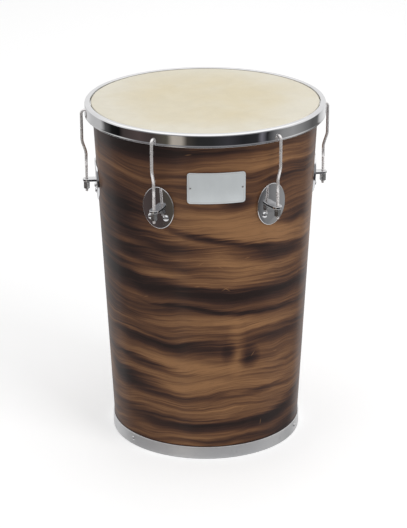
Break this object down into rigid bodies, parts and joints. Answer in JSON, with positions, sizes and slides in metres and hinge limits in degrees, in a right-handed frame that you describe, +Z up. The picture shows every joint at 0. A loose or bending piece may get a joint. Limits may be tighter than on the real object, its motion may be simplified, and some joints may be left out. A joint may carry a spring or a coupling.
{
  "type": "rebolo drum",
  "caption": "Conical wooden hand drum with one skin, open at the base, tuned by hook rods that pull the hoop down on lugs.",
  "frame": {"origin": "centre of the base, on the underside of the bottom ring", "axes": "+Z up along the drum's axis to the skin; -Y is the front, where the badge is; +X is the drum's side on the right of someone who looks at the badge"},
  "size_m": [0.3326, 0.32, 0.4654],
  "materials": {
    "wood_veneer": "satin lacquer",
    "chrome": "polished",
    "plated_steel": "plated",
    "satin_aluminium": "satin",
    "drum_skin": "matt skin",
    "badge_metal": "satin"
  },
  "bodies": {
    "shell_assembly": {"shell": "wood_veneer", "bottom_ring": "satin_aluminium", "drum_head": "drum_skin", "badge": "badge_metal", "badge_pin_left": "plated_steel", "badge_pin_right": "plated_steel", "bottom_ring_screw_right": "chrome", "bottom_ring_screw_back": "chrome", "bottom_ring_screw_left": "chrome", "lug_front_right": "chrome", "lug_screw_front_right_a": "chrome", "lug_nut_front_right_a": "plated_steel", "lug_screw_front_right_b": "chrome", "lug_nut_front_right_b": "plated_steel", "lug_right": "chrome", "lug_screw_right_a": "chrome", "lug_nut_right_a": "plated_steel", "lug_screw_right_b": "chrome", "lug_nut_right_b": "plated_steel", "lug_back_right": "chrome", "lug_screw_back_right_a": "chrome", "lug_nut_back_right_a": "plated_steel", "lug_screw_back_right_b": "chrome", "lug_nut_back_right_b": "plated_steel", "lug_back_left": "chrome", "lug_screw_back_left_a": "chrome", "lug_nut_back_left_a": "plated_steel", "lug_screw_back_left_b": "chrome", "lug_nut_back_left_b": "plated_steel", "lug_left": "chrome", "lug_screw_left_a": "chrome", "lug_nut_left_a": "plated_steel", "lug_screw_left_b": "chrome", "lug_nut_left_b": "plated_steel", "lug_front_left": "chrome", "lug_screw_front_left_a": "chrome", "lug_nut_front_left_a": "plated_steel", "lug_screw_front_left_b": "chrome", "lug_nut_front_left_b": "plated_steel"},
    "hoop_assembly": {"counter_hoop": "chrome", "flesh_hoop": "plated_steel", "hook_rod_front_right": "chrome", "hook_rod_right": "chrome", "hook_rod_back_right": "chrome", "hook_rod_back_left": "chrome", "hook_rod_left": "chrome", "hook_rod_front_left": "chrome"},
    "tuning_nut_front_right": {"tuning_nut_front_right": "plated_steel"},
    "tuning_nut_right": {"tuning_nut_right": "plated_steel"},
    "tuning_nut_back_right": {"tuning_nut_back_right": "plated_steel"},
    "tuning_nut_back_left": {"tuning_nut_back_left": "plated_steel"},
    "tuning_nut_left": {"tuning_nut_left": "plated_steel"},
    "tuning_nut_front_left": {"tuning_nut_front_left": "plated_steel"}
  },
  "joints": [
    {"name": "hoop_tuning", "type": "slide", "parent": "shell_assembly", "child": "hoop_assembly", "axis": [0, 0, -1], "range_m": [-0.003, 0.004]},
    {"name": "tuning_nut_front_right_turn", "type": "hinge", "parent": "shell_assembly", "child": "tuning_nut_front_right", "pos_m": [0.0796, -0.13787, 0.3517], "axis": [0, 0, 1], "range_deg": [-1543, 2058]},
    {"name": "tuning_nut_right_turn", "type": "hinge", "parent": "shell_assembly", "child": "tuning_nut_right", "pos_m": [0.1592, 0, 0.3517], "axis": [0, 0, 1], "range_deg": [-1543, 2058]},
    {"name": "tuning_nut_back_right_turn", "type": "hinge", "parent": "shell_assembly", "child": "tuning_nut_back_right", "pos_m": [0.0796, 0.13787, 0.3517], "axis": [0, 0, 1], "range_deg": [-1543, 2058]},
    {"name": "tuning_nut_back_left_turn", "type": "hinge", "parent": "shell_assembly", "child": "tuning_nut_back_left", "pos_m": [-0.0796, 0.13787, 0.3517], "axis": [0, 0, 1], "range_deg": [-1543, 2058]},
    {"name": "tuning_nut_left_turn", "type": "hinge", "parent": "shell_assembly", "child": "tuning_nut_left", "pos_m": [-0.1592, 0, 0.3517], "axis": [0, 0, 1], "range_deg": [-1543, 2058]},
    {"name": "tuning_nut_front_left_turn", "type": "hinge", "parent": "shell_assembly", "child": "tuning_nut_front_left", "pos_m": [-0.0796, -0.13787, 0.3517], "axis": [0, 0, 1], "range_deg": [-1543, 2058]}
  ],
  "couplings": [
    {"joint": "tuning_nut_front_right_turn", "follows": "hoop_tuning", "rad_per_m": 8976},
    {"joint": "tuning_nut_right_turn", "follows": "hoop_tuning", "rad_per_m": 8976},
    {"joint": "tuning_nut_back_right_turn", "follows": "hoop_tuning", "rad_per_m": 8976},
    {"joint": "tuning_nut_back_left_turn", "follows": "hoop_tuning", "rad_per_m": 8976},
    {"joint": "tuning_nut_left_turn", "follows": "hoop_tuning", "rad_per_m": 8976},
    {"joint": "tuning_nut_front_left_turn", "follows": "hoop_tuning", "rad_per_m": 8976}
  ]
}
